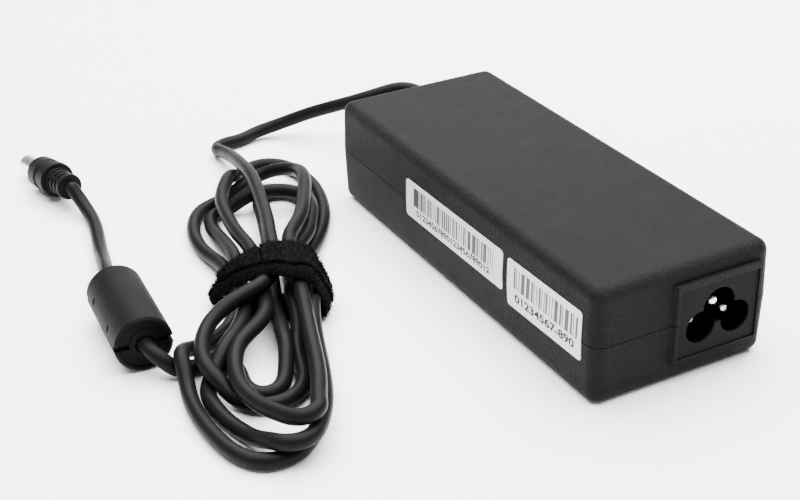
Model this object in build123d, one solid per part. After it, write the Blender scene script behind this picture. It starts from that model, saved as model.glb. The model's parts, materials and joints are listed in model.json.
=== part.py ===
"""Laptop power adapter: a closed brick with a three-lobed mains inlet at one end, and a coiled
low-voltage cord that ends in a barrel plug. Millimetres; +X is the inlet end, +Z is up, and the
origin is the centre of the brick's underside."""
import os
from math import cos, radians, sin, sqrt

from build123d import *

# ---------------------------------------------------------------- driving dimensions
CASE_L = 127.0
CASE_W = 50.0
CASE_H = 30.0
PARTING_Z = 15.6
DRAFT = 1.8
WALL = 2.2
CORNER_R = 3.6
TOP_EDGE_R = 3.0
BOTTOM_EDGE_R = 3.0
GAP = 0.1

INLET_Y = 9.25
INLET_Z = 15.25
INLET_W = 22.3
INLET_H = 17.9
INLET_FACE_X = 63.9
FRAME_FACE_X = 64.3
EARTH_YZ = (9.4, 17.7)
LINE_YZ = (4.4, 13.2)
NEUTRAL_YZ = (14.4, 13.2)
PIN_R = 1.2

PCB_Z = 6.0
PCB_T = 1.6
PCB_TOP = PCB_Z + PCB_T
HEATSINK_Y = 19.4

CORD_R = 1.95
CONDUCTOR_R = 1.15
OUTLET_Y = 13.0
OUTLET_PIVOT_X = -72.0

COIL_ORIGIN = (-28.0, -70.0)
COIL_ANGLE = -16.0

STRAP_T = 1.3

FERRITE_R = 7.2
FERRITE_L = 28.6
FERRITE_CENTRE = (-17.6, -105.75)
FERRITE_ANGLE = -4.1
FERRITE_BORE_R = 2.3
HINGE_OFFSET = 6.35

PLUG_END = (-95.4, -96.9, 7.15)
PLUG_HEADING = 189.0
PLUG_DIP = 6.5
BARREL_R = 2.75
BARREL_TIP = 30.0


def save(node, shape):
    """Write one node as a STEP file."""
    export_step(shape, f"parts/{node}.step")


def block(x, y, z):
    """A box between the given (low, high) pairs."""
    size = Box(x[1] - x[0], y[1] - y[0], z[1] - z[0])
    return Pos((x[0] + x[1]) / 2, (y[0] + y[1]) / 2, (z[0] + z[1]) / 2) * size


def rod(start, length, radius, direction=(1, 0, 0)):
    """A cylinder that starts at a point and runs along a direction."""
    return Plane(origin=start, z_dir=direction) * extrude(Circle(radius), length)


def tube(start, length, outer, inner, direction=(1, 0, 0)):
    """A round tube that starts at a point and runs along a direction."""
    return Plane(origin=start, z_dir=direction) * extrude(Circle(outer) - Circle(inner), length)


# ---------------------------------------------------------------- brick case
def case_half(top, inset=0.0):
    """Half of the case as a solid block, drafted away from the parting plane."""
    height = (CASE_H - PARTING_Z if top else PARTING_Z) - inset
    radius = CORNER_R - inset * 0.8
    outline = RectangleRounded(CASE_L - 2 * inset, CASE_W - 2 * inset, radius)
    half = extrude(outline, height, taper=DRAFT)
    end_face = half.faces().sort_by(Axis.Z)[-1]
    edge_r = (TOP_EDGE_R if top else BOTTOM_EDGE_R) - inset * 0.8
    half = fillet(end_face.edges(), edge_r)
    if not top:
        half = Rot(180, 0, 0) * half
    return Pos(0, 0, PARTING_Z) * half


def inlet_frame():
    """Raised frame around the inlet, with a ramp on its outer side and along its foot."""
    outline = Polyline(
        (58, -3.9), (63.3, -3.9), (FRAME_FACE_X, -3.0), (FRAME_FACE_X, 21.1), (58, 21.1), close=True
    )
    frame = Pos(0, 0, 5.2) * extrude(make_face(outline), 20.8)
    foot = Plane.XZ.offset(10) * make_face(
        Polyline((63.3, 5.1), (70, 5.1), (70, 6.1), (FRAME_FACE_X, 6.1), close=True)
    )
    return frame - extrude(foot, -40)


def parting_groove():
    """Thin V around the outside where the two shells meet."""
    outline = RectangleRounded(CASE_L + 4, CASE_W + 4, CORNER_R)
    ring = extrude(outline, 0.2) - extrude(RectangleRounded(CASE_L - 0.5, CASE_W - 0.5, CORNER_R), 0.2)
    return Pos(0, 0, PARTING_Z) * ring


def shell(top):
    """One shell of the case: outer half, raised frame, hollow, and the two end openings."""
    half = case_half(top) + (inlet_frame() & block(
        (50, 70), (-10, 30), (PARTING_Z, CASE_H) if top else (0, PARTING_Z)
    ))
    half -= case_half(top, inset=WALL)
    opening_y = (INLET_Y - INLET_W / 2 - GAP, INLET_Y + INLET_W / 2 + GAP)
    opening_z = (INLET_Z - INLET_H / 2 - GAP, INLET_Z + INLET_H / 2 + GAP)
    half -= block((55, 70), opening_y, opening_z)
    half -= rod((-70, OUTLET_Y, PARTING_Z), 12, 3.7)
    if top:
        half -= parting_groove()
    return half


BOSS_XY = [(x, y) for x in (-50, 38) for y in (-18, 18)]


def top_shell():
    """Upper shell with two long stiffening ribs under its roof."""
    cover = shell(top=True)
    for y in (-8, 8):
        cover += block((-50, 30), (y - 0.6, y + 0.6), (CASE_H - WALL - 0.4, CASE_H - WALL + 0.4))
    return cover


def bottom_shell():
    """Lower shell with the board's posts, heat-staking pegs, locating lip and label recess."""
    tray = shell(top=False)
    lip_outer = RectangleRounded(CASE_L - 2 * WALL - 0.3, CASE_W - 2 * WALL - 0.3, 1.6)
    lip_inner = RectangleRounded(CASE_L - 2 * WALL - 2.3, CASE_W - 2 * WALL - 2.3, 1.0)
    lip = Pos(0, 0, PARTING_Z - 2) * extrude(lip_outer - lip_inner, 3.2)
    lip -= block((50, 70), (-4, 22), (0, 30))
    lip -= block((-70, -55), (OUTLET_Y - 6.5, OUTLET_Y + 6.5), (0, 30))
    tray += lip
    for x, y in BOSS_XY:
        tray += rod((x, y, WALL - 0.4), PCB_Z - WALL + 0.4, 2.6, (0, 0, 1))
        tray += rod((x, y, PCB_Z), 2.6, 1.2, (0, 0, 1))
    tray -= Pos(-5, 0, 0) * extrude(RectangleRounded(84, 34, 2), 0.3)
    return tray


def side_label(x, z, length, height, angle):
    """A thin label that follows the drafted side of both shells."""
    skin = 0.15
    outline = Plane.XZ * Pos(x, z) * Rot(0, 0, angle) * RectangleRounded(length, height, 1.0)
    prism = Pos(0, -CASE_W / 2 + 3, 0) * extrude(outline, 6)
    grown = [scale(case_half(t), (1, (CASE_W + 2 * skin) / CASE_W, 1)) for t in (True, False)]
    label = None
    for half, big in zip((True, False), grown):
        layer = (big & prism) - case_half(half)
        label = layer if label is None else label + layer
    return label


def rating_label():
    """Plain label that lies in the recess of the underside."""
    return Pos(-5, 0, 0.1) * extrude(RectangleRounded(83, 33, 1.6), 0.18)


# ---------------------------------------------------------------- mains inlet
def trefoil(depth_from, depth_to):
    """Three-lobed cavity of the inlet, between two depths."""
    lobes = [(EARTH_YZ, 4.54), (LINE_YZ, 4.17), (NEUTRAL_YZ, 4.17)]
    cavity = None
    for (y, z), radius in lobes:
        lobe = rod((depth_from, y, z), depth_to - depth_from, radius)
        cavity = lobe if cavity is None else cavity + lobe
    return cavity


def inlet_body():
    """Moulded inlet insert with its pins' holes."""
    half_w = INLET_W / 2
    half_h = INLET_H / 2
    body = block((49, INLET_FACE_X), (INLET_Y - half_w, INLET_Y + half_w),
                 (INLET_Z - half_h, INLET_Z + half_h))
    body = fillet(body.edges().filter_by(Axis.X), 0.8)
    body -= trefoil(51.5, INLET_FACE_X + 1)
    for y, z in (EARTH_YZ, LINE_YZ, NEUTRAL_YZ):
        body -= rod((45, y, z), 10, PIN_R + 0.05)
    return body


def inlet_pin(yz, tip_x):
    """One round contact pin with a domed tip and a flat solder tail."""
    y, z = yz
    pin = rod((46.5, y, z), tip_x - 46.5, PIN_R)
    pin = fillet(pin.faces().sort_by(Axis.X)[-1].edges(), 0.7)
    return pin + block((42.5, 47.5), (y - 0.9, y + 0.9), (z - 0.4, z + 0.4))


# ---------------------------------------------------------------- circuit board and its parts
def board():
    """Printed circuit board with peg holes."""
    card = block((-57, 47), (-21, 21), (PCB_Z, PCB_TOP))
    for x, y in BOSS_XY:
        card -= rod((x, y, PCB_Z - 1), 4, 1.35, (0, 0, 1))
    return card


def insulating_sheet():
    """Insulating sheet between the solder side and the lower shell."""
    sheet = block((-56, 46), (-19.5, 19.5), (WALL + 0.15, WALL + 0.45))
    for x, y in BOSS_XY:
        sheet -= rod((x, y, 0), 8, 3.0, (0, 0, 1))
    return sheet


def toroid(centre, outer, inner, height, axis):
    """A flat ring with softened edges, centred on a point."""
    x, y, z = centre
    start = (x - height / 2, y, z) if axis[0] else (x, y, z - height / 2)
    return chamfer(tube(start, height, outer, inner, axis).edges(), 0.6)


CHOKE_CENTRE = (22.0, -9.5, PCB_TOP + 9.95)


def choke_windings():
    """Two windings on the common-mode choke, left and right."""
    x, y, z = CHOKE_CENTRE
    ring = tube((x - 5.4, y, z), 10.8, 9.7, 4.0) - tube((x - 4.1, y, z), 8.2, 8.1, 5.4)
    left = ring & block((x - 9, x + 9), (y - 12, y - 1.6), (z - 12, z + 12))
    right = ring & block((x - 9, x + 9), (y + 1.6, y + 12), (z - 12, z + 12))
    return Compound(children=[left.solids()[0], right.solids()[0]])


TRANSFORMER_X = -35.0
TRANSFORMER_Z = PCB_TOP + 9.2


def transformer_core():
    """Two E-shaped ferrite halves that meet on a vertical plane."""
    halves = []
    for side in (-1, 1):
        x = TRANSFORMER_X
        z = (TRANSFORMER_Z - 5, TRANSFORMER_Z + 5)
        face = sorted((x + side * 0.02, x + side * 12))
        back = sorted((x + side * 8, x + side * 12))
        half = block(back, (-14, 14), z)
        for y in ((-14, -10.5), (-4.2, 4.2), (10.5, 14)):
            half += block(face, y, z)
        halves.append(half.solids()[0])
    return Compound(children=halves)


def transformer_bobbin():
    """Winding former around the core's middle leg, with two flanges."""
    x = TRANSFORMER_X
    tall = TRANSFORMER_Z
    former = block((x - 7.8, x + 7.8), (-5.2, 5.2), (tall - 6.0, tall + 6.0))
    for side in (-1, 1):
        flange = sorted((x + side * 6.8, x + side * 7.8))
        former += block(flange, (-10.2, 10.2), (tall - 9.0, tall + 9.0))
    return former - block((x - 9, x + 9), (-4.3, 4.3), (tall - 5.1, tall + 5.1))


def transformer_winding():
    """Wound and taped copper on the former."""
    x = TRANSFORMER_X
    tall = TRANSFORMER_Z
    pack = block((x - 6.7, x + 6.7), (-9.8, 9.8), (tall - 8.6, tall + 8.6))
    pack = fillet(pack.edges().filter_by(Axis.X), 2.0)
    return pack - block((x - 9, x + 9), (-5.3, 5.3), (tall - 6.1, tall + 6.1))


def heatsink(x, y, side):
    """Bent aluminium plate along one long wall, with its screw hole."""
    plate = block(x, sorted((y, y + side * 1.6)), (PCB_TOP, 25.4))
    plate += block(x, sorted((y - side * 5, y + side * 1.6)), (23.8, 25.4))
    screw_x = (x[0] + x[1]) / 2
    return plate - rod((screw_x, y - side * 3, 20.0), 8, 1.6, (0, side, 0))


def power_device(x, y, side):
    """Flat power semiconductor in a screw-down case with three legs."""
    tab = block((x - 5, x + 5), sorted((y - side * 0.05, y - side * 1.3)), (10.6, 23.4))
    body = block((x - 5, x + 5), sorted((y - side * 1.3, y - side * 4.4)), (10.6, 17.0))
    device = tab + body
    for leg in (-2.5, 0, 2.5):
        device += block((x + leg - 0.4, x + leg + 0.4),
                        sorted((y - side * 2.2, y - side * 2.8)), (PCB_TOP, 10.7))
    return device - rod((x, y + side * 3, 20.0), 8, 1.6, (0, -side, 0))


def screw(x, y, side):
    """Pan-head screw with its nut, which clamps a power device to its heatsink."""
    bolt = rod((x, y - side * 1.35, 20.0), 4.2, 1.45, (0, side, 0))
    head = rod((x, y - side * 3.3, 20.0), 1.95, 2.7, (0, side, 0))
    nut_plane = Plane(origin=(x, y + side * 1.65, 20.0), z_dir=(0, side, 0))
    nut = nut_plane * extrude(RegularPolygon(2.9, 6), 1.2)
    return bolt + head + nut


def can(x, y, radius, height):
    """Upright electrolytic capacitor with a crimped neck."""
    body = rod((x, y, PCB_TOP), height, radius, (0, 0, 1))
    body = fillet(body.faces().sort_by(Axis.Z)[-1].edges(), 0.5)
    return body - tube((x, y, PCB_TOP + 1.6), 0.6, radius + 1, radius - 0.3, (0, 0, 1))


def bulk_capacitor():
    """Large input capacitor that lies along the board."""
    start = (-22.0, 10.4, PCB_TOP + 9.2)
    body = fillet(rod(start, 28, 9.0).edges(), 0.8)
    groove = tube((2.6, 10.4, PCB_TOP + 9.2), 0.9, 10, 8.5)
    return body - groove


def lead_wire(points, radius):
    """An insulated hook-up wire that leaves the board upright and ends level."""
    path = Spline(*points, tangents=[(0, 0, 1), (-1, 0, 0)])
    return sweep(Plane(origin=path @ 0, z_dir=path % 0) * Circle(radius), path=path)


def electronics():
    """Write every piece that stands on the circuit board."""
    top = PCB_TOP
    save("circuit_board", board())
    save("insulating_sheet", insulating_sheet())
    save("fuse_tube", rod((41, -18.5, top + 2.9), 12, 2.3, (0, 1, 0)))
    caps = [tube((41, y, top + 2.9), 3.4, 2.6, 2.33, (0, 1, 0)) for y in (-18.6, -9.8)]
    save("fuse_caps", Compound(children=[cap.solids()[0] for cap in caps]))
    save("inrush_thermistor", fillet(rod((33.6, -13.5, top + 6.2), 4.2, 5.6).edges(), 1.0))
    save("line_capacitor", fillet(block((29, 37), (-5.5, 15.5), (top, 24.0)).edges(), 0.8))
    save("choke_core", toroid(CHOKE_CENTRE, 8.0, 5.5, 8.0, (1, 0, 0)))
    save("choke_windings", choke_windings())
    save("bridge_rectifier", chamfer(block((10, 13.6), (0, 20), (top + 1.5, 24.5)).edges(), 0.4))
    save("bulk_capacitor", bulk_capacitor())
    save("primary_heatsink", heatsink((-22, 14), -HEATSINK_Y, -1))
    save("primary_switch", power_device(-4, -HEATSINK_Y, -1))
    save("primary_screw", screw(-4, -HEATSINK_Y, -1))
    save("transformer_core", transformer_core())
    save("transformer_bobbin", transformer_bobbin())
    save("transformer_winding", transformer_winding())
    save("secondary_heatsink", heatsink((-56, -24), HEATSINK_Y, 1))
    save("output_rectifier", power_device(-40, HEATSINK_Y, 1))
    save("output_screw", screw(-40, HEATSINK_Y, 1))
    cans = [can(-53, y, 3.9, 15.0) for y in (-12, -3.4)]
    save("output_capacitors", Compound(children=[c.solids()[0] for c in cans]))
    save("output_choke", toroid((-52.6, 6.6, top + 4.0), 4.6, 1.9, 7.4, (0, 0, 1)))
    save("isolation_capacitor", fillet(rod((-21, -18.2, top + 4.4), 3.0, 3.8, (0, 1, 0)).edges(), 0.9))
    save("optocoupler", block((-30, -25.5), (-20, -15.5), (top + 0.4, top + 3.8)))
    save("switching_controller", block((2, 7), (-12, -8), (top + 0.1, top + 1.7)))


# ---------------------------------------------------------------- cord
def coil_point(u, v, height):
    """A point given along the coil, across it and above the ground."""
    turn = radians(COIL_ANGLE)
    x = COIL_ORIGIN[0] + u * cos(turn) - v * sin(turn)
    y = COIL_ORIGIN[1] + u * sin(turn) + v * cos(turn)
    return (x, y, height)


# The cord leaves the brick's boot, climbs over the coil and starts to wind.
LEAD_OUT = [
    (-72, 13, 15.6), (-78, 12, 17.6), (-84, 8, 19.2), (-89.5, 0, 17), (-96, -8, 13.3),
    (-105.3, -16.5, 8.3), (-111.3, -25, 4.1), (-112.6, -32.5, 2.3),
]
# First turn at the far end of the coil, then up over the other strands into the strap.
CLIMB = [
    (-88.6, 8.5, 2.1), (-87.4, 4.4, 2.1), (-86, 1.8, 2.1), (-83.2, 0.5, 2.4), (-79.5, 1.2, 3.2),
    (-73, 3, 4.7), (-64, 4.6, 6.7), (-55, 5.8, 8.6), (-46, 6.8, 10), (-38, 7.3, 10.5),
    (-25, 7.5, 11), (-12, 7.3, 11.6), (-4, 6.8, 11.9), (7, 6.4, 12), (14, 5.3, 12.1),
]
# Near loop 1, which folds back under the strap.
NEAR_1 = [
    (19, 2.2, 11.6), (22.6, -3.6, 10.7), (25.8, -9, 9.3), (30, -13, 7.9), (36, -15.1, 7.1),
    (42, -15.7, 7.1), (47, -15, 6.8), (50.5, -13, 5.4), (53.8, -10.6, 3.3), (56.8, -7.2, 2.1),
    (58.3, -3, 2), (57.6, 1.2, 2), (55.2, 4.6, 2), (51, 6.6, 2.05), (45, 7.2, 2.05), (37, 7.4, 2.4),
    (32, 8.4, 3.9), (27, 8.9, 5.7), (22, 8.8, 6.9), (17, 9.2, 7.4), (12, 10.9, 7.5), (7, 12.5, 7.4),
    (-4, 13.6, 7.1),
]
# Far loop 1, the smallest one.
FAR_1 = [
    (-12, 17.4, 6.5), (-22, 20.2, 6.2), (-31.5, 21.6, 6.2), (-37.8, 19.6, 6.2), (-41.2, 15.5, 6.2),
    (-42, 10.5, 6.2), (-41.8, 6.2, 5.7), (-41.8, 2.4, 3.6), (-41, -1.8, 2.1), (-38.3, -5.2, 2.1),
    (-33, -6.5, 2.3), (-21, -5.2, 4.2), (-12, -3.8, 5.9), (-4, -3, 7), (7, -3.1, 7), (17, -3.1, 7),
]
# Near loop 2, the long one on the second layer.
NEAR_2 = [
    (22.5, -3.6, 6.6), (28, -5, 6.4), (33.5, -7.5, 6.3), (38.5, -10.3, 6), (42.5, -12.5, 4.4),
    (46, -14.5, 2.7), (50, -15.5, 2.1), (55, -14.9, 2.05), (61.9, -12.6, 2.05), (67, -9.8, 2.2),
    (71.5, -7.2, 3), (75.8, -4.7, 5), (79.3, -1.6, 6.3), (79.8, 1.6, 6.6), (77.6, 4.9, 6.4),
    (73, 7.2, 6.1), (68, 8.8, 6.1), (60, 10.2, 6.1), (51, 11, 6.1), (37, 11.8, 6.2),
    (27, 12.9, 7.2), (17, 14.8, 6.1), (7, 15.7, 3.8), (-4, 15.8, 3.4),
]
# Far loop 2, the widest one, flat on the ground.
FAR_2 = [
    (-10, 18.1, 2.6), (-21.7, 22.9, 2.2), (-32, 25.4, 2.05), (-41.3, 26.1, 2.05), (-50, 25.5, 2.05),
    (-58, 23.4, 2.05), (-65, 19.7, 2.05), (-68.4, 14.4, 2.05), (-66.6, 8.4, 2.1), (-62.2, 4.8, 2.5),
    (-58.2, 2.7, 4.5), (-53.5, 0.9, 6.1), (-46.3, -1.3, 6.3), (-40, -2.5, 6.3), (-29.7, -2.2, 6.4),
    (-16.4, -0.5, 7.1), (-4, 1.7, 8), (7, 1.5, 7.8), (17, 1.4, 7.6),
]
# Near loop 3, which crosses the long one and climbs to the top layer.
NEAR_3 = [
    (23, 1.9, 7.7), (29, 0.3, 7.6), (34.9, -3.5, 7.6), (40.3, -6.9, 7.6), (46.6, -8.5, 7.2),
    (54.8, -8.6, 7), (62.3, -6.6, 7.2), (68.2, -3.8, 8), (73, -0.6, 9), (76, 2.6, 9.9),
    (75.2, 5.6, 10.4), (71, 7.2, 10.3), (64, 8.4, 10.3), (47.7, 9.6, 10.4), (29.8, 10.4, 10.8),
    (17, 11, 11.3), (11, 11.1, 11.6), (4, 11, 11.5), (-4, 12, 11.3),
]
# Far loop 3, from the top layer down to the ground.
FAR_3 = [
    (-10, 14.4, 11.1), (-17, 17, 10.8), (-25, 18.9, 10.6), (-31.5, 20.2, 10.5), (-38, 21.2, 10.4),
    (-45, 21.5, 9.2), (-51, 20.7, 7.5), (-55.6, 17.9, 6), (-58.3, 13.5, 4.4), (-58.8, 9, 2.6),
    (-55.7, 4.9, 2.05), (-51, 1.2, 2), (-46.6, -3.4, 2.05), (-43, -7.8, 2.05), (-36, -10.9, 2.05),
    (-25, -11.4, 2.05), (-16.4, -9.4, 2.2), (-4, -5.6, 3.5), (7, -5.5, 3.5), (17, -5.6, 3.5),
]
# Near loop 4, the outer one on the ground.
NEAR_4 = [
    (22.5, -7, 3.1), (26.5, -10, 2.6), (29.8, -13.6, 2.5), (32.6, -17.2, 3.6), (36, -19.6, 5.4),
    (39.5, -20.4, 6.2), (43, -20.2, 5.2), (47.5, -20, 2.9), (51.5, -19.7, 2.15), (57, -18.9, 2.05),
    (64.5, -16.8, 2.05), (70, -14.6, 2.05), (75, -11.7, 2.05), (78.3, -8, 2.05), (79.2, -3.8, 2.05),
    (77.8, 0.4, 2.05), (74.4, 3.9, 2.05), (69, 7, 2.05), (60, 9.8, 2.05), (51, 11, 2.13),
    (37, 12.1, 2.1), (27, 12, 3.2), (17, 11.4, 3.5), (7, 11.2, 3.45), (-4, 11.2, 3.45),
]
# Far loop 4, which returns through the lowest slots of the strap.
FAR_4 = [
    (-12, 14.2, 2.4), (-22, 18, 2.05), (-32, 20.6, 2.05), (-41, 20.8, 2.05), (-46.2, 18.8, 2.05),
    (-48.4, 15, 2.05), (-48, 11, 2.05), (-44.5, 8.6, 2.1), (-38, 8.2, 2.1), (-27, 8, 2.1),
    (-14, 7.2, 2.8), (-4, 6.2, 3.6), (7, 5.6, 3.5), (17, 4.8, 3.5),
]
# Last small loop inside the others, out to the ferrite.
LAST_TURN = [
    (27, 4.5, 4.4), (34, 4.3, 5.6), (40, 4.2, 5.2), (45, 3.4, 3.9), (49.5, 2.3, 2.4), (52.8, 0, 2.05),
    (53.7, -3.4, 2.05), (51, -6.2, 2.05), (46, -7.3, 2.05), (40.5, -8.4, 2.05), (37.4, -11, 2.05),
    (37.4, -15, 2.05), (38.8, -18.5, 2.05), (38.6, -21.7, 2.3),
]
# Through the clip-on ferrite and along the ground to the plug.
LEAD_IN = [
    (1.6, -104.8, 5.4), (-1.5, -106.4, 6.8), (-5.3, -106.65, 7.2), (-10.3, -106.3, 7.2),
    (-25, -105.2, 7.2), (-31.5, -104.75, 7.2), (-38, -104, 7), (-45.5, -102.6, 5.8),
    (-56, -100.3, 3.3), (-66, -98.2, 2.15), (-77.8, -95.6, 2.1), (-86.5, -94.9, 2.7),
]


def plug_direction():
    """Unit vector from the cord towards the barrel's tip."""
    heading = radians(PLUG_HEADING)
    dip = radians(PLUG_DIP)
    return Vector(cos(heading) * cos(dip), sin(heading) * cos(dip), -sin(dip))


BALL_OFFSET = 1.5
CORD_PIECES = 200


def plug_pivot():
    """Centre of the cord's rounded end, just outside the plug's boot."""
    return Vector(*PLUG_END) - plug_direction() * BALL_OFFSET


def cord_path():
    """Centre line of the whole cord, from the brick's boot to the plug's boot."""
    coil = (CLIMB + NEAR_1 + FAR_1 + NEAR_2 + FAR_2 + NEAR_3 + FAR_3 + NEAR_4 + FAR_4 + LAST_TURN)
    points = LEAD_OUT + [coil_point(*p) for p in coil] + LEAD_IN
    return Spline(*points, tuple(plug_pivot()))


def two_arcs(start, end, start_way, end_way):
    """Two arcs that join two points and keep the direction at both."""
    gap = end - start
    ways = start_way + end_way
    a = 2 * (1 - start_way.dot(end_way))
    b = 2 * gap.dot(ways)
    c = -gap.dot(gap)
    reach = (sqrt(b * b - 4 * a * c) - b) / (2 * a)
    first = start + start_way * reach
    second = end - end_way * reach
    middle = (first + second) / 2
    return [
        TangentArc(start, middle, tangent=start_way),
        TangentArc(middle, end, tangent=second - first),
    ]


def arc_chain(path, pieces):
    """The path as a smooth chain of arcs, so that the cord's surface is made of torus pieces."""
    arcs = []
    for i in range(pieces):
        low = i / pieces
        high = (i + 1) / pieces
        arcs += two_arcs(path @ low, path @ high, path % low, path % high)
    return Wire(arcs)


def cord(path):
    """The whole cord as one round rod, closed by a ball at both ends."""
    chain = arc_chain(path, CORD_PIECES)
    rope = sweep(Plane(origin=chain @ 0, z_dir=chain % 0) * Circle(CORD_R), path=chain)
    return rope + [Pos(*(path @ end)) * Sphere(CORD_R) for end in (0, 1)]


# ---------------------------------------------------------------- strain relief boot and wires
def socket(centre):
    """Ball socket in which a cord end turns."""
    return Pos(*centre) * Sphere(CORD_R + 0.1)


def cord_boot():
    """Strain relief boot: a flange inside the wall, a neck through it and a tapered sleeve."""
    end_x = OUTLET_PIVOT_X + 0.9
    boot = rod((-60.6, 0, 0), 3.0, 5.0) + rod((-63.7, 0, 0), 3.3, 3.6) + rod((-65.2, 0, 0), 1.5, 4.3)
    taper_l = -65.2 - end_x
    taper = Plane(origin=(-65.2, 0, 0), z_dir=(-1, 0, 0)) * Pos(0, 0, taper_l / 2) * Cone(3.9, 3.1, taper_l)
    boot += taper
    for i in range(3):
        boot -= tube((-66.9 - 1.4 * i, 0, 0), 0.6, 5.0, 3.1 - 0.1 * i)
    boot -= Pos(OUTLET_PIVOT_X, 0, 0) * Rot(0, 90, 0) * Sphere(CORD_R + 0.1)
    return Pos(0, OUTLET_Y, PARTING_Z) * boot


def output_wires():
    """Two wires from the board up to the boot."""
    wires = []
    for y, out_z in ((13.9, 14.2), (12.0, 17.0)):
        points = [(-50.5, y, PCB_TOP), (-51.5, y, PCB_TOP + 4), (-55, y, out_z - 0.5), (-57.55, y, out_z)]
        wires.append(lead_wire(points, 0.8).solids()[0])
    return Compound(children=wires)


def inlet_wires():
    """Three wires from the pins' solder tails down to the board."""
    wires = []
    for y, z in (EARTH_YZ, LINE_YZ, NEUTRAL_YZ):
        wires.append(rod((43.4, y, PCB_TOP), z - 0.4 - PCB_TOP, 0.7, (0, 0, 1)).solids()[0])
    return Compound(children=wires)


# ---------------------------------------------------------------- hook-and-loop strap
def on_coil(shape):
    """Move a shape from the coil's own directions to its place."""
    return Pos(COIL_ORIGIN[0], COIL_ORIGIN[1], 0) * Rot(0, 0, COIL_ANGLE) * shape


def strap_outline(grow):
    """Cross-section of the strapped bundle: flat underneath, domed on top."""
    curve = [
        Line((-7.4, 1.38), (16.4, 1.38)),
        ThreePointArc((16.4, 1.38), (18.3, 3.6), (17.5, 6.5)),
        ThreePointArc((17.5, 6.5), (15.4, 11.2), (12.6, 14.0)),
        ThreePointArc((12.6, 14.0), (6.3, 14.9), (0.6, 13.0)),
        ThreePointArc((0.6, 13.0), (-5.1, 9.0), (-9.2, 4.2)),
        ThreePointArc((-9.2, 4.2), (-9.4, 2.2), (-7.4, 1.38)),
    ]
    outline = make_face(Curve() + curve)
    return offset(outline, grow) if grow else outline


def strap_sleeve(inner, outer, pull_back=0.0):
    """A closed sleeve of the strap between two offsets, cut slantwise at both rims."""
    ring = strap_outline(outer) - strap_outline(inner)
    sleeve = Plane.YZ * extrude(ring, 60)
    rims = make_face(Polyline(
        (5.4, -12), (9.0 - pull_back, -12), (14.5 - pull_back, -4.5), (20.5 - pull_back, 4.6),
        (23.0 - pull_back, 9), (23.0 - pull_back, 24), (10.1, 24), close=True,
    ))
    return (Pos(-20, 0, 0) * sleeve) & (Pos(0, 0, -5) * extrude(rims, 30))


STRAP_LAYER = 1.2
LAYER_IN = STRAP_T + 0.06
LAYER_OUT = LAYER_IN + STRAP_LAYER
TAB_HINGE = (3.0, 16.22)
OUTER_PULL_BACK = 3.2
TAB_ROUND = STRAP_LAYER / 2


def strap_band():
    """Inner turn of the strap, which holds the strands together."""
    return on_coil(strap_sleeve(0, STRAP_T).solids()[0])


def strap_end():
    """Outer turn of the strap, over the top and down the side that faces the brick."""
    layer = strap_sleeve(LAYER_IN, LAYER_OUT, OUTER_PULL_BACK)
    layer &= block((-10, 30), (TAB_HINGE[0], 30), (4.0, 30))
    layer -= rod((-10, *TAB_HINGE), 50, TAB_ROUND + 0.12)
    return on_coil(layer.solids().sort_by(SortBy.VOLUME)[-1])


def strap_tab():
    """Free end of the strap down the far side, with a round hinge edge on top."""
    layer = strap_sleeve(LAYER_IN, LAYER_OUT, OUTER_PULL_BACK)
    layer &= block((-10, 30), (-15, TAB_HINGE[0]), (6.5, 30))
    edge = rod((7.6, *TAB_HINGE), 8.2, TAB_ROUND - 0.04)
    return on_coil((layer + edge).solids().sort_by(SortBy.VOLUME)[-1])


# ---------------------------------------------------------------- clip-on ferrite
def on_ferrite(shape):
    """Move a shape from the ferrite's own axis (X) to its place."""
    place = Pos(FERRITE_CENTRE[0], FERRITE_CENTRE[1], FERRITE_R) * Rot(0, 0, FERRITE_ANGLE)
    return place * shape


HALF_L = FERRITE_L / 2
CORE_R = 5.3
CORE_L = 23.0
SPLIT_GAP = 0.06
KNUCKLE_R = 0.85
PIN_HOLE_R = 0.4


def half_space(upper, gap):
    """The room above or below the split, less half of the gap."""
    z = (gap, 12) if upper else (-12, -gap)
    return block((-30, 30), (-12, 12), z)


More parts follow.
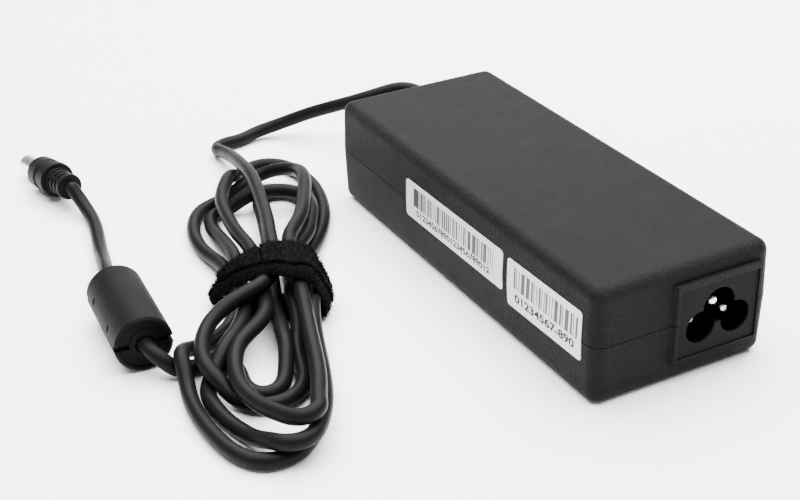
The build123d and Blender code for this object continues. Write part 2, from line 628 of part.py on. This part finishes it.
def ferrite_case(upper):
    """One half of the clip-on case, with its end collars and hinge knuckles."""
    profile = Polyline(
        (-HALF_L, 2.3), (-HALF_L, 3.6), (-HALF_L + 0.5, 3.7), (-HALF_L + 0.5, 6.1),
        (-HALF_L, 6.2), (-HALF_L, 6.7), (-HALF_L + 0.5, FERRITE_R), (0, FERRITE_R),
        (0, CORE_R + 0.12), (-CORE_L / 2 - 0.1, CORE_R + 0.12), (-CORE_L / 2 - 0.1, 2.3), close=True,
    )
    quarter = revolve(Plane.XZ * make_face(profile), Axis.X)
    case = quarter + mirror(quarter, Plane.YZ)
    for x in (-HALF_L, HALF_L):
        case -= Pos(x, -5.6, 0) * Box(3.2, 4.0, 1.5)
        case -= Pos(x, 5.6, 0) * Box(3.2, 4.0, 1.5)
    case &= half_space(upper, SPLIT_GAP)
    relief = (HINGE_OFFSET - 0.05, 12)
    if not upper:
        case -= block((-30, 30), relief, (-KNUCKLE_R - 0.1, 1))
    own = ((-3, 3),) if upper else ((-9, -3.15), (3.15, 9))
    other = ((-9.2, -2.95), (2.95, 9.2)) if upper else ((-3.15, 3.15),)
    for low, high in other:
        case -= rod((low, HINGE_OFFSET, 0), high - low, KNUCKLE_R + 0.12)
    for low, high in own:
        case += rod((low, HINGE_OFFSET, 0), high - low, KNUCKLE_R)
    case -= rod((-10, HINGE_OFFSET, 0), 20, PIN_HOLE_R + (0.05 if upper else 0))
    case -= rod((-CORE_L / 2 - 0.1, 0, 0), CORE_L + 0.2, CORE_R + 0.12)
    for x in (-7.0, 7.0):
        if upper:
            window = Plane.XZ.offset(5) * Pos(x, 2.1) * Rot(0, 0, 90) * SlotOverall(2.0, 1.1)
            case -= extrude(window, 5)
            case -= block((x - 2.0, x + 2.0), (-6.6, -5.0), (-1, 2.45))
        else:
            case += block((x - 1.7, x + 1.7), (-6.3, -5.55), (-1.5, 1.9))
    return on_ferrite(case.solids().sort_by(SortBy.VOLUME)[-1])


def ferrite_core(upper):
    """Half-round ferrite sleeve inside the clip-on case."""
    sleeve = tube((-CORE_L / 2, 0, 0), CORE_L, CORE_R, FERRITE_BORE_R)
    return on_ferrite(sleeve & half_space(upper, SPLIT_GAP))


def ferrite_pin():
    """Hinge pin of the clip-on case."""
    return on_ferrite(rod((-9, HINGE_OFFSET, 0), 18, PIN_HOLE_R))


# ---------------------------------------------------------------- barrel plug
def on_plug(shape):
    """Move a shape from the plug's own axis (Z, towards the tip) to its place."""
    return Plane(origin=PLUG_END, x_dir=(0, 0, 1), z_dir=plug_direction()) * shape


def turned(points):
    """A body turned about the plug's axis from (radius, distance) points."""
    return revolve(Plane.XZ * make_face(Polyline(*points, close=True)), Axis.Z)


def plug_boot():
    """Flexible boot with ribs, which holds the cord's end."""
    boot = turned([
        (0, 0), (3.6, 0), (3.8, 0.3), (3.8, 1.2), (3.3, 1.6), (3.9, 8.3),
        (2.2, 8.3), (2.2, 10.0), (0, 10.0),
    ])
    for i in range(3):
        ring = tube((0, 0, 2.4 + 1.9 * i), 0.9, 5, 2.5 + 0.1 * i, (0, 0, 1))
        boot -= ring & (Box(12, 4.2, 30) + Box(4.2, 12, 30))
    boot -= rod((0, 0, 0.5), 14, CONDUCTOR_R + 0.05, (0, 0, 1))
    boot = on_plug(boot)
    return boot - socket(plug_pivot())


def plug_grip():
    """Moulded grip: a thin flange, a waist and a front ring."""
    grip = turned([
        (2.25, 8.4), (4.9, 8.4), (5.2, 8.7), (5.2, 11.0), (4.7, 11.3), (4.7, 14.4), (5.0, 14.7),
        (4.8, 19.2), (4.3, 20.0), (BARREL_R + 0.02, 20.0), (BARREL_R + 0.02, 11.0), (2.25, 11.0),
    ])
    return on_plug(grip)


def plug_barrel():
    """Outer contact of the plug."""
    barrel = turned([(2.3, 11.1), (BARREL_R, 11.1), (BARREL_R, 29.6), (2.6, BARREL_TIP), (2.3, BARREL_TIP)])
    return on_plug(barrel)


def plug_conductor():
    """Bare end of the cord's conductors, from the boot to the inner contact."""
    return on_plug(rod((0, 0, 1.2), 9.8, CONDUCTOR_R, (0, 0, 1)))


def plug_insulator():
    """Insulating sleeve between the plug's two contacts."""
    return on_plug(turned([(1.62, 11.1), (2.28, 11.1), (2.28, 29.7), (1.62, 29.7)]))


def plug_contact():
    """Inner sleeve contact, closed at its solder end."""
    return on_plug(turned([(0, 11.1), (1.6, 11.1), (1.6, 29.3), (1.25, 29.3), (1.25, 19.8), (0, 19.8)]))


# ---------------------------------------------------------------- write every node
def main():
    """Build and write every piece."""
    os.makedirs("parts", exist_ok=True)
    save("top_shell", top_shell())
    save("bottom_shell", bottom_shell())
    save("label_long", side_label(0.8, 17.15, 48.4, 10.7, 0.6))
    save("label_short", side_label(42.8, 16.35, 31.0, 12.7, 1.0))
    save("rating_label", rating_label())
    save("inlet_body", inlet_body())
    save("earth_pin", inlet_pin(EARTH_YZ, 62.0))
    pins = [inlet_pin(yz, 60.2).solids()[0] for yz in (LINE_YZ, NEUTRAL_YZ)]
    save("line_pins", Compound(children=pins))
    save("inlet_wires", inlet_wires())
    save("output_wires", output_wires())
    electronics()
    save("cord_boot", cord_boot())
    path = cord_path()
    save("cord", cord(path))
    save("strap_band", strap_band())
    save("strap_end", strap_end())
    save("strap_tab", strap_tab())
    save("ferrite_case_lower", ferrite_case(upper=False))
    save("ferrite_case_upper", ferrite_case(upper=True))
    save("ferrite_core_lower", ferrite_core(upper=False))
    save("ferrite_core_upper", ferrite_core(upper=True))
    save("ferrite_pin", ferrite_pin())
    save("plug_boot", plug_boot())
    save("plug_grip", plug_grip())
    save("plug_barrel", plug_barrel())
    save("plug_conductor", plug_conductor())
    save("plug_insulator", plug_insulator())
    save("plug_contact", plug_contact())


main()
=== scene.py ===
import json
import math
import random

import bpy
from mathutils import Matrix, Vector
from mathutils import noise as smooth_noise


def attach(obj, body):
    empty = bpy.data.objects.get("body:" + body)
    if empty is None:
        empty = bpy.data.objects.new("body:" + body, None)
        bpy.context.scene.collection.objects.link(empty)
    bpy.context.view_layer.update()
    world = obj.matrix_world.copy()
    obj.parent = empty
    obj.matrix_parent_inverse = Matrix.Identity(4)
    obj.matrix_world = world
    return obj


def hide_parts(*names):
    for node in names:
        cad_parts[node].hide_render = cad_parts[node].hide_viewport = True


# Looks of the laptop power adapter around its CAD frame: metres, +X the mains inlet end, +Z up.

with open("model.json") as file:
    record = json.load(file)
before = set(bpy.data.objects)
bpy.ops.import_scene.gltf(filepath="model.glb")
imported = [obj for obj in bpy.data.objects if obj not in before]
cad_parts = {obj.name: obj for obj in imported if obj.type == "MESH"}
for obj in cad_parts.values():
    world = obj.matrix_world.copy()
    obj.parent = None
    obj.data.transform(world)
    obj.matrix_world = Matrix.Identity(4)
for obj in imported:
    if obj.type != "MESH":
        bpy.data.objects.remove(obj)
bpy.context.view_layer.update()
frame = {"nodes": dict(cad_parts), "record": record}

MM = 0.001

# Case and labels, in mm
CASE_SIDE_Y = -25.0
PARTING_Z = 15.6
DRAFT = math.radians(1.8)
LABEL_LIFT = 0.19
INLET_FACE_X = 63.9
INLET_SHADE = 1.0

# Coil and strap, in mm
COIL_X = -28
COIL_Y = -70
COIL_TURN = math.radians(-16)
INNER_TURN = (0.0, 1.1)
OUTER_TURN = (1.14, 2.1)
OUTER_PULL_BACK = 3.2
RAGGED_PITCH = 1.05
ROUNDED_RIM = 0.9
RIM_DROOP = 1.3
ABOVE_GROUND = 0.03
FIBRE_LENGTH = (0.3, 0.95)
FIBRE_HALF_WIDTH = 0.05
USUAL_FIBRE = 0.6
FIBRE_CLEARANCE = 0.1

# Stage, in mm
FLOOR_DROP = 0.2
CAMERA_AT = (281.55, -186.58, 190.36)

# Mesh density of the strap, and the steps round the bundle that each of its pieces covers
STEPS_PER_KNOT = 10
ROWS_ACROSS = 22
FIBRES_PER_STEP = 130
WHOLE_LOOP = range(0, 120)
BRICK_SIDE = range(32, 76)
FREE_END = range(76, 95)


# ---------------------------------------------------------------- material helpers
class Nodes:
    """Small helper that adds and links shader nodes in one material."""

    def __init__(self, name):
        self.material = bpy.data.materials.new(name)
        self.material.use_nodes = True
        self.tree = self.material.node_tree
        self.shader = self.tree.nodes["Principled BSDF"]
        self.coords = self.add("ShaderNodeTexCoord").outputs["Object"]

    def add(self, kind, **values):
        node = self.tree.nodes.new(kind)
        for key, value in values.items():
            setattr(node, key, value)
        return node

    def link(self, source, target):
        self.tree.links.new(source, target)

    def noise(self, scale, detail=4.0, rough=0.6):
        node = self.add("ShaderNodeTexNoise")
        node.inputs["Scale"].default_value = scale
        node.inputs["Detail"].default_value = detail
        node.inputs["Roughness"].default_value = rough
        self.link(self.coords, node.inputs["Vector"])
        return node.outputs["Fac"]

    def ramp(self, source, low, high):
        """A ramp between two stops, each a place and a colour."""
        node = self.add("ShaderNodeValToRGB")
        for element, (place, colour) in zip(node.color_ramp.elements, (low, high)):
            element.position = place
            element.color = (*colour, 1)
        self.link(source, node.inputs["Fac"])
        return node.outputs["Color"]

    def between(self, source, low, high):
        node = self.add("ShaderNodeMapRange")
        node.inputs["To Min"].default_value = low
        node.inputs["To Max"].default_value = high
        self.link(source, node.inputs["Value"])
        return node.outputs["Result"]

    def math(self, operation, a, b=None):
        node = self.add("ShaderNodeMath", operation=operation)
        for socket, value in zip(node.inputs, (a, b)):
            if isinstance(value, (int, float)):
                socket.default_value = value
            elif value is not None:
                self.link(value, socket)
        return node.outputs["Value"]

    def bump(self, source, depth_mm, below=None):
        node = self.add("ShaderNodeBump")
        node.inputs["Distance"].default_value = depth_mm * MM
        node.inputs["Strength"].default_value = 1.0
        self.link(source, node.inputs["Height"])
        if below:
            self.link(below, node.inputs["Normal"])
        return node.outputs["Normal"]

    def set(self, **values):
        for key, value in values.items():
            socket = self.shader.inputs[key.replace("_", " ")]
            if isinstance(value, bpy.types.NodeSocket):
                self.link(value, socket)
            else:
                socket.default_value = value


def shades(colour, spread):
    """Darker and lighter versions of a colour."""
    return [tuple(c * k for c in colour) for k in (1 - spread, 1 + spread)]


def plastic(name, colour, rough, grain_mm=0.5, depth_mm=0.03, spread=0.08, specular=0.5):
    """Moulded plastic: fine spark-eroded grain, slight shade changes and rubbed patches."""
    n = Nodes(name)
    grain = n.noise(1 / (grain_mm * MM), 3.0, 0.7)
    cloud = n.noise(60.0, 3.0)
    dark, light = shades(colour, spread)
    n.set(Base_Color=n.ramp(cloud, (0.3, dark), (0.7, light)))
    n.set(Roughness=n.between(n.noise(140.0), rough - 0.07, rough + 0.07))
    n.set(Specular_IOR_Level=specular)
    n.set(Normal=n.bump(grain, depth_mm))
    return n.material


def recess_shaded_plastic(name, colour, rough):
    """Moulded plastic of the inlet: grey on its face, with painted shade in its recess, where the
    base colour ramps to near black and the specular fades out.
    """
    n = Nodes(name)
    split = n.add("ShaderNodeSeparateXYZ")
    n.link(n.coords, split.inputs[0])
    from_face = n.math("SUBTRACT", split.outputs["X"], INLET_FACE_X * MM)
    unshaded_share = n.math("MULTIPLY", from_face, 1 / (INLET_SHADE * MM))
    unshaded_share = n.math("ADD", unshaded_share, 1.0)
    # Painted shade: deeper than INLET_SHADE mm behind the inlet face, the base colour ramps to near
    # black and the specular fades with it.
    n.set(Base_Color=n.ramp(unshaded_share, (0.0, (0.0008, 0.0008, 0.0008)), (0.9, colour)))
    n.set(Roughness=n.between(n.noise(140.0), rough - 0.05, rough + 0.05))
    n.set(Specular_IOR_Level=n.math("MULTIPLY", n.math("MAXIMUM", unshaded_share, 0.0), 0.03))
    n.set(Normal=n.bump(n.noise(1200.0, 3.0), 0.04))
    return n.material


def metal(name, colour, rough):
    """Bare or plated metal with a faint drawn grain."""
    n = Nodes(name)
    dark, light = shades(colour, 0.1)
    n.set(Base_Color=n.ramp(n.noise(400.0), (0.3, dark), (0.7, light)), Metallic=1.0)
    n.set(Roughness=n.between(n.noise(2500.0), rough - 0.08, rough + 0.08))
    n.set(Normal=n.bump(n.noise(3000.0), 0.004))
    return n.material


def glossy(name, colour, rough=0.25):
    """Dipped coating, shrink sleeve or film."""
    n = Nodes(name)
    dark, light = shades(colour, 0.15)
    n.set(Base_Color=n.ramp(n.noise(300.0), (0.35, dark), (0.65, light)))
    n.set(Roughness=n.between(n.noise(900.0), rough - 0.05, rough + 0.1))
    n.set(Specular_IOR_Level=0.5, Normal=n.bump(n.noise(1200.0), 0.01))
    return n.material


def wound(name, colour, pitch_mm):
    """Close turns of enamelled wire."""
    n = Nodes(name)
    wave = n.add("ShaderNodeTexWave", bands_direction="DIAGONAL")
    wave.inputs["Scale"].default_value = 0.3 / (pitch_mm * MM)
    n.link(n.coords, wave.inputs["Vector"])
    dark, light = shades(colour, 0.35)
    n.set(Base_Color=n.ramp(wave.outputs["Fac"], (0.2, dark), (0.8, light)), Metallic=0.8)
    n.set(Roughness=0.35, Normal=n.bump(wave.outputs["Fac"], 0.15))
    return n.material


def pile(name, colour):
    """Looped pile of a hook-and-loop strap."""
    n = Nodes(name)
    loops = n.add("ShaderNodeTexVoronoi", feature="F1")
    loops.inputs["Scale"].default_value = 1 / (0.55 * MM)
    n.link(n.coords, loops.inputs["Vector"])
    dark, light = shades(colour, 0.6)
    n.set(Base_Color=n.ramp(loops.outputs["Distance"], (0.1, light), (0.8, dark)))
    n.set(Roughness=0.95, Specular_IOR_Level=0.02)
    n.set(Sheen_Weight=0.02, Sheen_Roughness=0.5)
    fine = n.bump(n.noise(4000.0), 0.1)
    n.set(Normal=n.bump(loops.outputs["Distance"], 0.35, below=fine))
    return n.material


def within(n, axis_value, low, high):
    """1 where a coordinate lies between two values."""
    above = n.math("GREATER_THAN", axis_value, low)
    below = n.math("LESS_THAN", axis_value, high)
    return n.math("MULTIPLY", above, below)


def bar_label(name, bars_x, bars_z, bar_mm, seed):
    """White film with a strip of upright bars.

    Of each three columns the first is always dark, the second half the time, the third rarely.
    """
    n = Nodes(name)
    split = n.add("ShaderNodeSeparateXYZ")
    n.link(n.coords, split.inputs[0])
    column = n.math("FLOOR", n.math("DIVIDE", split.outputs["X"], bar_mm * MM))
    dice = n.add("ShaderNodeTexWhiteNoise", noise_dimensions="1D")
    n.link(n.math("ADD", column, seed), dice.inputs["W"])
    third = n.math("FLOORED_MODULO", column, 3.0)
    first_or_second = n.math("LESS_THAN", third, 1.5)
    wide = n.math("MULTIPLY", n.math("GREATER_THAN", dice.outputs["Value"], 0.5), first_or_second)
    full = n.math("GREATER_THAN", dice.outputs["Value"], 0.8)
    bar = n.math("MAXIMUM", n.math("MAXIMUM", wide, full), n.math("LESS_THAN", third, 0.5))
    bar = n.math("MULTIPLY", bar, within(n, split.outputs["X"], bars_x[0] * MM, bars_x[1] * MM))
    bar = n.math("MULTIPLY", bar, within(n, split.outputs["Z"], bars_z[0] * MM, bars_z[1] * MM))
    paper = n.ramp(n.noise(500.0), (0.3, (0.6, 0.6, 0.6)), (0.7, (0.66, 0.66, 0.655)))
    mix = n.add("ShaderNodeMix", data_type="RGBA")
    n.link(bar, mix.inputs["Factor"])
    n.link(paper, mix.inputs["A"])
    mix.inputs["B"].default_value = (0.012, 0.012, 0.012, 1)
    n.set(Base_Color=mix.outputs["Result"], Roughness=0.45, Normal=n.bump(n.noise(900.0), 0.01))
    return n.material


# ---------------------------------------------------------------- materials of every slot
SLOT_MATERIALS = {
    "case_plastic": plastic("case_plastic", (0.0055, 0.0055, 0.0058), 0.5, 0.7, 0.45, specular=0.04),
    # The inlet's plastic has painted shade in its recess.
    "inlet_plastic": recess_shaded_plastic("inlet_plastic", (0.0055, 0.0055, 0.0058), 0.55),
    "label": glossy("label", (0.75, 0.75, 0.74), 0.5),
    "dark_label": glossy("dark_label", (0.04, 0.04, 0.045), 0.45),
    "contact_metal": metal("contact_metal", (0.78, 0.78, 0.76), 0.28),
    "copper": wound("copper", (0.72, 0.36, 0.18), 0.8),
    "wire_insulation": glossy("wire_insulation", (0.3, 0.03, 0.02)),
    "board": glossy("board", (0.03, 0.16, 0.06), 0.3),
    "film": glossy("film", (0.7, 0.66, 0.45)),
    "glass_tube": glossy("glass_tube", (0.75, 0.8, 0.8), 0.12),
    "yellow_plastic": plastic("yellow_plastic", (0.65, 0.45, 0.04), 0.4),
    "blue_coating": glossy("blue_coating", (0.03, 0.12, 0.4)),
    "green_coating": glossy("green_coating", (0.05, 0.22, 0.12), 0.4),
    "ferrite": plastic("ferrite", (0.05, 0.05, 0.052), 0.55, 1.2, 0.05, 0.2),
    "can_sleeve": glossy("can_sleeve", (0.02, 0.02, 0.08)),
    "heatsink_metal": metal("heatsink_metal", (0.75, 0.75, 0.77), 0.4),
    "steel": metal("steel", (0.6, 0.6, 0.58), 0.35),
    "black_epoxy": plastic("black_epoxy", (0.02, 0.02, 0.02), 0.5, 0.3, 0.02),
    "bobbin_plastic": plastic("bobbin_plastic", (0.04, 0.04, 0.04), 0.5),
    "tape": glossy("tape", (0.65, 0.5, 0.06), 0.3),
    "cord_rubber": plastic("cord_rubber", (0.004, 0.004, 0.0042), 0.42, 1.5, 0.02, 0.15, 0.045),
    "strap_fabric": pile("strap_fabric", (0.0018, 0.0018, 0.0019)),
    "clip_plastic": plastic("clip_plastic", (0.0045, 0.0045, 0.0048), 0.52, 0.8, 0.12, specular=0.03),
    "plug_plastic": plastic("plug_plastic", (0.004, 0.004, 0.0042), 0.5, 0.9, 0.03, specular=0.06),
    "plug_rubber": plastic("plug_rubber", (0.005, 0.005, 0.0053), 0.45, 1.0, 0.02, specular=0.05),
    "insulator": plastic("insulator", (0.01, 0.01, 0.01), 0.5),
}
OWN_MATERIALS = {
    "label_long": bar_label("label_long", (-19.3, 20.8), (15.8, 21.0), 0.36, 11.0),
    "label_short": bar_label("label_short", (29.8, 56.9), (15.4, 21.0), 0.36, 57.0),
}


def paint(piece, material):
    """Give a piece one material on every face."""
    piece.data.materials.clear()
    piece.data.materials.append(material)


def paint_cad():
    """Put the procedural material of its slot on every CAD node."""
    for entry in frame["record"]["subparts"]:
        node = entry["node"]
        paint(frame["nodes"][node], OWN_MATERIALS.get(node, SLOT_MATERIALS[entry["material_slot"]]))


# ---------------------------------------------------------------- printed digits
def side_y(z):
    """Outer face of the labels on the case's drafted side, in mm."""
    return CASE_SIDE_Y - LABEL_LIFT + abs(z - PARTING_Z) * math.tan(DRAFT)


def digits(name, text, x, z, width, height, tilt):
    """A row of plain digits printed on a label, centred on a point."""
    curve = bpy.data.curves.new(name, "FONT")
    curve.body = text
    curve.align_x = "CENTER"
    curve.align_y = "CENTER"
    curve.resolution_u = 3
    curve.offset = 0.025
    source = bpy.data.objects.new(name + "_source", curve)
    bpy.context.scene.collection.objects.link(source)
    bpy.context.view_layer.update()
    mesh = bpy.data.meshes.new_from_object(source)
    bpy.data.objects.remove(source)
    across = [v.co.x for v in mesh.vertices]
    along = [v.co.y for v in mesh.vertices]
    stretch_x = width * MM / (max(across) - min(across))
    stretch_y = height * MM / (max(along) - min(along))
    stretch = Matrix.Diagonal((stretch_x, stretch_y, 1.0, 1.0))
    lean = -DRAFT if z > PARTING_Z else DRAFT
    place = Matrix.Translation((x * MM, side_y(z) * MM, z * MM))
    upright = Matrix.Rotation(math.radians(90) + lean, 4, "X")
    slant = Matrix.Rotation(math.radians(tilt), 4, "Z")
    mesh.transform(place @ upright @ slant @ stretch)
    piece = bpy.data.objects.new(name, mesh)
    bpy.context.scene.collection.objects.link(piece)
    paint(piece, INK)
    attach(piece, "brick")


INK = plastic("ink", (0.012, 0.012, 0.012), 0.5, specular=0.1)


# ---------------------------------------------------------------- coil's own directions
def on_coil(u, v, z):
    """A point given along the coil, across it and above the ground, in mm."""
    x = COIL_X + u * math.cos(COIL_TURN) - v * math.sin(COIL_TURN)
    y = COIL_Y + u * math.sin(COIL_TURN) + v * math.cos(COIL_TURN)
    return Vector((x, y, z)) * MM


# ---------------------------------------------------------------- hook-and-loop strap
# Knots of the strapped bundle's cross-section (across, up), counter-clockwise from bottom left.
BUNDLE = [
    (-7.4, 1.35), (4.5, 1.35), (15.4, 1.35), (17.2, 3.6), (16.9, 6.5), (15.0, 11.0),
    (12.6, 14.0), (6.3, 14.9), (0.6, 13.0), (-5.1, 9.0), (-9.2, 4.2), (-9.4, 2.2),
]


def closed_curve(knots, steps):
    """Smooth closed curve through the knots, as points and outward normals."""
    count = len(knots)
    points = []
    for i in range(count):
        a, b, c, d = (Vector(knots[(i + k) % count]) for k in (-1, 0, 1, 2))
        for s in range(steps):
            t = s / steps
            points.append(
                0.5 * (2 * b + (c - a) * t + (2 * a - 5 * b + 4 * c - d) * t * t
                       + (3 * b - a - 3 * c + d) * t ** 3)
            )
    normals = []
    for i in range(len(points)):
        along = (points[(i + 1) % len(points)] - points[i - 1]).normalized()
        normals.append(Vector((along.y, -along.x)))
    return points, normals


# Near rim of the strap (across the coil, along the coil), from its left side to its right.
NEAR_RIM = [(-14, 7.6), (-4.5, 14.5), (4.6, 20.5), (9, 23), (24, 23)]


def rim_far(v):
    """Far rim of the strap, in mm along the coil."""
    return 7.0 + 0.13 * v


def rim_near(v):
    """Near rim of the strap, which runs slantwise over the strands."""
    for (v0, u0), (v1, u1) in zip(NEAR_RIM, NEAR_RIM[1:]):
        if v <= v1:
            return u0 + (u1 - u0) * (v - v0) / (v1 - v0)
    return NEAR_RIM[-1][1]


def sheet_point(i, p, n, share, side, offsets, pull_back):
    """One point of a strap layer: step i round the bundle and a share of the way across it."""
    low, high = offsets
    ragged = 0.45 * smooth_noise.noise(Vector((i * 0.21, side * 0.2, share * RAGGED_PITCH + low)))
    start = rim_far(p.x) + ragged
    end = rim_near(p.x) - pull_back + 0.5 * smooth_noise.noise(Vector((i * 0.17, 7.0, low)))
    u = start + (end - start) * share
    height = high if side else low
    if side:
        height += 0.22 * smooth_noise.noise(Vector((u * 0.7, i * 0.35, low * 3)))
    from_rim = min(share, 1 - share) * (end - start)
    rounding = 0.35 * max(0.0, 1 - from_rim / ROUNDED_RIM) * (high - low)
    height += -rounding if side else rounding
    if not pull_back:
        height -= RIM_DROOP * max(0.0, 1 - (end - u) / OUTER_PULL_BACK) ** 2
    z = max(p.y + n.y * height, ABOVE_GROUND)
    return on_coil(u, p.x + n.x * height, z)


def sheet_faces(count, rows, closed):
    """Faces of a layer with an inner side, an outer side, two rims and, if open, two ends."""
    faces = []

    def at(side, k, r):
        return side * count * rows + (k % count) * rows + r

    for k in range(count if closed else count - 1):
        for r in range(rows - 1):
            faces.append((at(1, k, r), at(1, k + 1, r), at(1, k + 1, r + 1), at(1, k, r + 1)))
            faces.append((at(0, k, r + 1), at(0, k + 1, r + 1), at(0, k + 1, r), at(0, k, r)))
        for r in (0, rows - 1):
            quad = (at(0, k, r), at(0, k + 1, r), at(1, k + 1, r), at(1, k, r))
            faces.append(quad if r == 0 else quad[::-1])
    if not closed:
        for k in (0, count - 1):
            for r in range(rows - 1):
                quad = (at(0, k, r), at(1, k, r), at(1, k, r + 1), at(0, k, r + 1))
                faces.append(quad if k == 0 else quad[::-1])
    return faces


def strap_sheet(name, steps, offsets, body, node, pull_back=0.0):
    """A pile-covered layer of the strap between two offsets from the bundle."""
    points, normals = closed_curve(BUNDLE, STEPS_PER_KNOT)
    closed = len(steps) == len(points)
    verts = []
    for side in (0, 1):
        for i in steps:
            for r in range(ROWS_ACROSS):
                share = r / (ROWS_ACROSS - 1)
                verts.append(sheet_point(i, points[i], normals[i], share, side, offsets, pull_back))
    faces = sheet_faces(len(steps), ROWS_ACROSS, closed)
    sheet = new_piece(name, verts, faces, SLOT_MATERIALS["strap_fabric"])
    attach(sheet, body)
    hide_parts(node)
    pile_fibres(name + "_pile", sheet, FIBRES_PER_STEP * len(steps), body)


def new_piece(name, verts, faces, material):
    """A smooth-shaded mesh object with one material."""
    mesh = bpy.data.meshes.new(name)
    mesh.from_pydata([tuple(v) for v in verts], [], faces)
    mesh.validate()
    mesh.shade_smooth()
    piece = bpy.data.objects.new(name, mesh)
    bpy.context.scene.collection.objects.link(piece)
    paint(piece, material)
    return piece


def pile_fibres(name, sheet, count, body):
    """Short loose loops that stand out of a strap layer, clear of the ground."""
    dice = random.Random(len(name) * 7 + count)
    polygons = list(sheet.data.polygons)
    verts, faces = [], []
    for _ in range(count):
        polygon = dice.choice(polygons)
        corners = [sheet.data.vertices[i].co for i in polygon.vertices]
        a = dice.random()
        b = dice.random()
        base = (corners[0].lerp(corners[1], a)).lerp(corners[3].lerp(corners[2], a), b)
        lean = Vector([dice.uniform(-1, 1) for _ in range(3)])
        rise = (polygon.normal + 0.7 * lean).normalized()
        if base.z + rise.z * USUAL_FIBRE * MM < FIBRE_CLEARANCE * MM:
            continue
        length = dice.uniform(*FIBRE_LENGTH) * MM
        side = rise.cross(lean).normalized() * FIBRE_HALF_WIDTH * MM
        tip = base + rise * length + lean * 0.15 * MM
        middle = base + rise * length * 0.6
        start = len(verts)
        verts += [base - side, base + side, middle - side, middle + side, tip]
        faces += [(start, start + 1, start + 3, start + 2), (start + 2, start + 3, start + 4)]
    fibres = new_piece(name, verts, faces, SLOT_MATERIALS["strap_fabric"])
    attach(fibres, body)


def strap():
    """The strap's inner turn, its outer turn and its free end."""
    strap_sheet("strap_loop", WHOLE_LOOP, INNER_TURN, "cord", "strap_band")
    strap_sheet("strap_outer", BRICK_SIDE, OUTER_TURN, "cord", "strap_end", OUTER_PULL_BACK)
    strap_sheet("strap_flap", FREE_END, OUTER_TURN, "strap_tab", "strap_tab", OUTER_PULL_BACK)


# ---------------------------------------------------------------- stage
def floor():
    """Plain pale floor."""
    half = 4.0
    corners = [(-half, -half), (half, -half), (half, half), (-half, half)]
    n = Nodes("floor")
    n.set(Base_Color=n.ramp(n.noise(3.0), (0.3, (0.9, 0.9, 0.9)), (0.7, (0.92, 0.92, 0.92))))
    n.set(Roughness=0.9, Specular_IOR_Level=0.1)
    piece = new_piece("floor", [Vector((x, y, 0)) for x, y in corners], [(0, 1, 2, 3)], n.material)
    piece.location.z = -FLOOR_DROP * MM


def softbox(name, place, aim, size, watts):
    """A large soft light of a width and height, aimed at a point."""
    light = bpy.data.lights.new(name, "AREA")
    light.shape = "RECTANGLE"
    light.size = size[0]
    light.size_y = size[1]
    light.energy = watts
    lamp = bpy.data.objects.new(name, light)
    bpy.context.scene.collection.objects.link(lamp)
    lamp.location = place
    lamp.rotation_euler = (Vector(aim) - Vector(place)).to_track_quat("-Z", "Y").to_euler()


def lights():
    """Even studio light: a broad overhead box, weak boxes behind and in front, a pale surround."""
    between_brick_and_coil = (0, -0.03, 0.01)
    softbox("overhead", (-0.15, 0.1, 0.9), (0, -0.03, 0), (1.4, 1.4), 95.0)
    softbox("back", (-0.95, 0.5, 0.6), between_brick_and_coil, (0.9, 0.9), 8.0)
    softbox("front", (0.55, -0.9, 0.35), between_brick_and_coil, (0.8, 0.5), 1.0)
    world = bpy.data.worlds.new("surround")
    world.use_nodes = True
    background = world.node_tree.nodes["Background"]
    background.inputs["Color"].default_value = (1, 1, 1, 1)
    background.inputs["Strength"].default_value = 0.3
    bpy.context.scene.world = world


def camera():
    """Camera above the inlet corner, at a short telephoto length, given by its three axes."""
    data = bpy.data.cameras.new("camera")
    data.sensor_width = 36.0
    data.lens = 64.97
    data.clip_start = 0.01
    right = Vector((0.47375, 0.88036, -0.02295))
    up = Vector((-0.41533, 0.24633, 0.87569))
    back = Vector((0.77657, -0.40532, 0.48234))
    eye = bpy.data.objects.new("camera", data)
    bpy.context.scene.collection.objects.link(eye)
    turn = Matrix((right, up, back)).transposed().to_4x4()
    eye.matrix_world = Matrix.Translation(Vector(CAMERA_AT) * MM) @ turn
    bpy.context.scene.camera = eye


paint_cad()
digits("digits_long", "01234567890123456789012", 0.7, 14.2, 37.0, 2.0, 0.6)
digits("digits_short", "01234567-890", 43.3, 13.1, 25.0, 2.4, 1.0)
strap()
floor()
lights()
camera()
